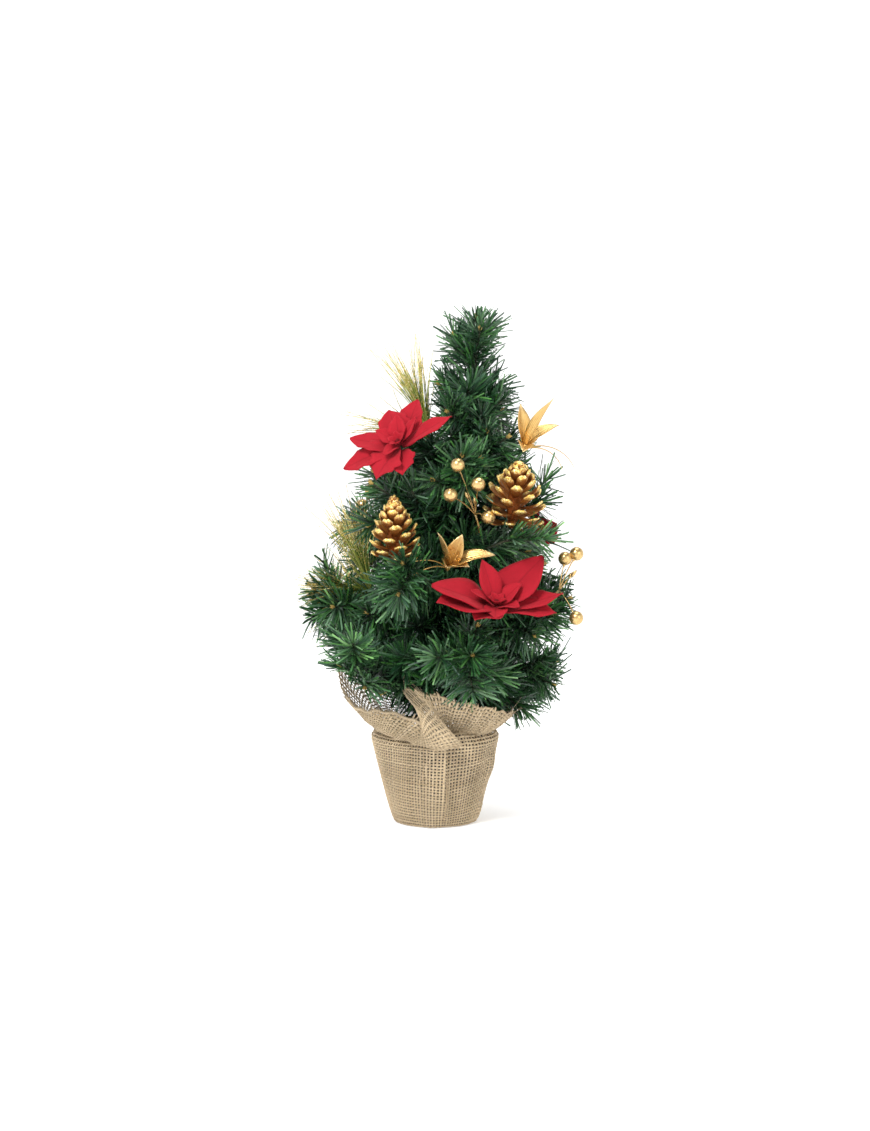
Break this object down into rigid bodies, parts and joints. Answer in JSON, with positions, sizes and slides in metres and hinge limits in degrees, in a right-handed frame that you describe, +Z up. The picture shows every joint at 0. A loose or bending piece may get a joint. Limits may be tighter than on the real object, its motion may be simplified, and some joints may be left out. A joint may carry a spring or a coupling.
{
  "type": "artificial tabletop tree",
  "caption": "Artificial tabletop tree: bendable needle branches on a leaning pole in a burlap-wrapped pot, with red poinsettias, gold pine cones, lilies and berries.",
  "frame": {"origin": "centre of the flat underside of the wrapped pot, which stands on the table", "axes": "+Z up along the tree, -Y towards the front with the two large flowers, +X to the front's right, towards which the pole leans"},
  "size_m": [0.2405, 0.2717, 0.4494],
  "materials": {
    "black_plastic": "matte",
    "cement": "matte",
    "burlap": "matte",
    "twine": "matte",
    "green_tape": "matte",
    "green_needles": "satin",
    "red_felt": "matte",
    "gold_foil": "satin",
    "gold_scales": "satin",
    "gold_berry": "satin",
    "glitter_green": "satin"
  },
  "bodies": {
    "base": {"pot_cup": "black_plastic", "ballast_plug": "cement", "burlap_wrap": "burlap", "neck_tie": "twine", "trunk_pole": "green_tape"},
    "branch_01": {"branch_01": "green_needles"},
    "branch_02": {"branch_02": "green_needles"},
    "branch_03": {"branch_03": "green_needles", "glitter_pine_back": "glitter_green"},
    "branch_04": {"branch_04": "green_needles", "poinsettia_front_inner": "red_felt", "poinsettia_front_outer": "red_felt"},
    "branch_05": {"branch_05": "green_needles"},
    "branch_06": {"branch_06": "green_needles", "glitter_pine_left": "glitter_green"},
    "branch_07": {"branch_07": "green_needles", "berries_right": "gold_berry"},
    "branch_08": {"branch_08": "green_needles", "lily_back": "gold_foil"},
    "branch_09": {"branch_09": "green_needles", "cone_left": "gold_scales", "lily_front": "gold_foil"},
    "branch_10": {"branch_10": "green_needles", "poinsettia_back_inner": "red_felt", "poinsettia_back_outer": "red_felt"},
    "branch_11": {"branch_11": "green_needles", "berries_back": "gold_berry"},
    "branch_12": {"branch_12": "green_needles", "berries_front": "gold_berry", "cone_right": "gold_scales"},
    "branch_13": {"branch_13": "green_needles", "cone_back": "gold_scales"},
    "branch_14": {"branch_14": "green_needles", "poinsettia_left_inner": "red_felt", "poinsettia_left_outer": "red_felt"},
    "branch_15": {"branch_15": "green_needles", "lily_right": "gold_foil"},
    "branch_16": {"branch_16": "green_needles"},
    "branch_17": {"branch_17": "green_needles"},
    "branch_18": {"branch_18": "green_needles"},
    "branch_19": {"branch_19": "green_needles", "glitter_pine_upper": "glitter_green"},
    "branch_20": {"branch_20": "green_needles"},
    "branch_21": {"branch_21": "green_needles"},
    "branch_22": {"branch_22": "green_needles"},
    "branch_23": {"branch_23": "green_needles"},
    "branch_24": {"branch_24": "green_needles"},
    "leader": {"leader_brush": "green_needles"}
  },
  "joints": [
    {"name": "branch_01_bend", "type": "hinge", "parent": "base", "child": "branch_01", "pos_m": [0.00247, -0.00441, 0.118], "axis": [-0.7431, 0.6691, 0], "range_deg": [-12, 25]},
    {"name": "branch_02_bend", "type": "hinge", "parent": "base", "child": "branch_02", "pos_m": [0.01343, 0.00056, 0.12853], "axis": [0.096, -0.9954, 0], "range_deg": [-8, 25]},
    {"name": "branch_03_bend", "type": "hinge", "parent": "base", "child": "branch_03", "pos_m": [0.00408, 0.0035, 0.13907], "axis": [0.6016, 0.7988, 0], "range_deg": [-15, 22]},
    {"name": "branch_04_bend", "type": "hinge", "parent": "base", "child": "branch_04", "pos_m": [0.01092, -0.00567, 0.1496], "axis": [-0.9832, -0.1826, 0], "range_deg": [-15, 3]},
    {"name": "branch_05_bend", "type": "hinge", "parent": "base", "child": "branch_05", "pos_m": [0.01404, 0.00484, 0.16013], "axis": [0.8483, -0.5294, 0], "range_deg": [-15, 25]},
    {"name": "branch_06_bend", "type": "hinge", "parent": "base", "child": "branch_06", "pos_m": [0.00672, -0.00151, 0.17067], "axis": [-0.2679, 0.9634, 0], "range_deg": [-15, 18]},
    {"name": "branch_07_bend", "type": "hinge", "parent": "base", "child": "branch_07", "pos_m": [0.01829, -0.00254, 0.1812], "axis": [-0.4532, -0.8914, 0], "range_deg": [-15, 18]},
    {"name": "branch_08_bend", "type": "hinge", "parent": "base", "child": "branch_08", "pos_m": [0.0125, 0.00519, 0.19174], "axis": [0.9363, 0.3511, 0], "range_deg": [-15, 16]},
    {"name": "branch_09_bend", "type": "hinge", "parent": "base", "child": "branch_09", "pos_m": [0.01354, -0.00509, 0.20227], "axis": [-0.9276, 0.3736, 0], "range_deg": [-15, 3]},
    {"name": "branch_10_bend", "type": "hinge", "parent": "base", "child": "branch_10", "pos_m": [0.02163, 0.00234, 0.2128], "axis": [0.4316, -0.902, 0], "range_deg": [-15, 7]},
    {"name": "branch_11_bend", "type": "hinge", "parent": "base", "child": "branch_11", "pos_m": [0.01274, 0.00156, 0.22334], "axis": [0.291, 0.9567, 0], "range_deg": [-15, 12]},
    {"name": "branch_12_bend", "type": "hinge", "parent": "base", "child": "branch_12", "pos_m": [0.02173, -0.00458, 0.23387], "axis": [-0.8608, -0.5089, 0], "range_deg": [-8, 5]},
    {"name": "branch_13_bend", "type": "hinge", "parent": "base", "child": "branch_13", "pos_m": [0.02126, 0.00515, 0.24441], "axis": [0.9785, -0.2063, 0], "range_deg": [-15, 12]},
    {"name": "branch_14_bend", "type": "hinge", "parent": "base", "child": "branch_14", "pos_m": [0.01708, -0.00303, 0.25494], "axis": [-0.5822, 0.8131, 0], "range_deg": [-7, 5]},
    {"name": "branch_15_bend", "type": "hinge", "parent": "base", "child": "branch_15", "pos_m": [0.02757, -0.00062, 0.26547], "axis": [-0.1199, -0.9928, 0], "range_deg": [-15, 5]},
    {"name": "branch_16_bend", "type": "hinge", "parent": "base", "child": "branch_16", "pos_m": [0.02029, 0.00387, 0.27601], "axis": [0.759, 0.651, 0], "range_deg": [-15, 25]},
    {"name": "branch_17_bend", "type": "hinge", "parent": "base", "child": "branch_17", "pos_m": [0.02458, -0.00504, 0.28654], "axis": [-0.9995, 0.0327, 0], "range_deg": [-10, 25]},
    {"name": "branch_18_bend", "type": "hinge", "parent": "base", "child": "branch_18", "pos_m": [0.02938, 0.00356, 0.29707], "axis": [0.7149, -0.6992, 0], "range_deg": [-15, 25]},
    {"name": "branch_19_bend", "type": "hinge", "parent": "base", "child": "branch_19", "pos_m": [0.02212, -0.00027, 0.30761], "axis": [-0.0548, 0.9985, 0], "range_deg": [-15, 7]},
    {"name": "branch_20_bend", "type": "hinge", "parent": "base", "child": "branch_20", "pos_m": [0.03195, -0.00309, 0.31814], "axis": [-0.634, -0.7733, 0], "range_deg": [-15, 25]},
    {"name": "branch_21_bend", "type": "hinge", "parent": "base", "child": "branch_21", "pos_m": [0.02864, 0.00477, 0.32868], "axis": [0.9899, 0.1419, 0], "range_deg": [-15, 25]},
    {"name": "branch_22_bend", "type": "hinge", "parent": "base", "child": "branch_22", "pos_m": [0.02779, -0.00393, 0.33921], "axis": [-0.8258, 0.564, 0], "range_deg": [-15, 25]},
    {"name": "branch_23_bend", "type": "hinge", "parent": "base", "child": "branch_23", "pos_m": [0.03619, 0.00107, 0.34974], "axis": [0.2279, -0.9737, 0], "range_deg": [-15, 25]},
    {"name": "branch_24_bend", "type": "hinge", "parent": "base", "child": "branch_24", "pos_m": [0.02871, 0.00228, 0.36028], "axis": [0.4896, 0.8719, 0], "range_deg": [-15, 25]},
    {"name": "leader_bend", "type": "hinge", "parent": "base", "child": "leader", "pos_m": [0.03527, 0, 0.38337], "axis": [0, 1, 0], "range_deg": [-15, 25]}
  ]
}
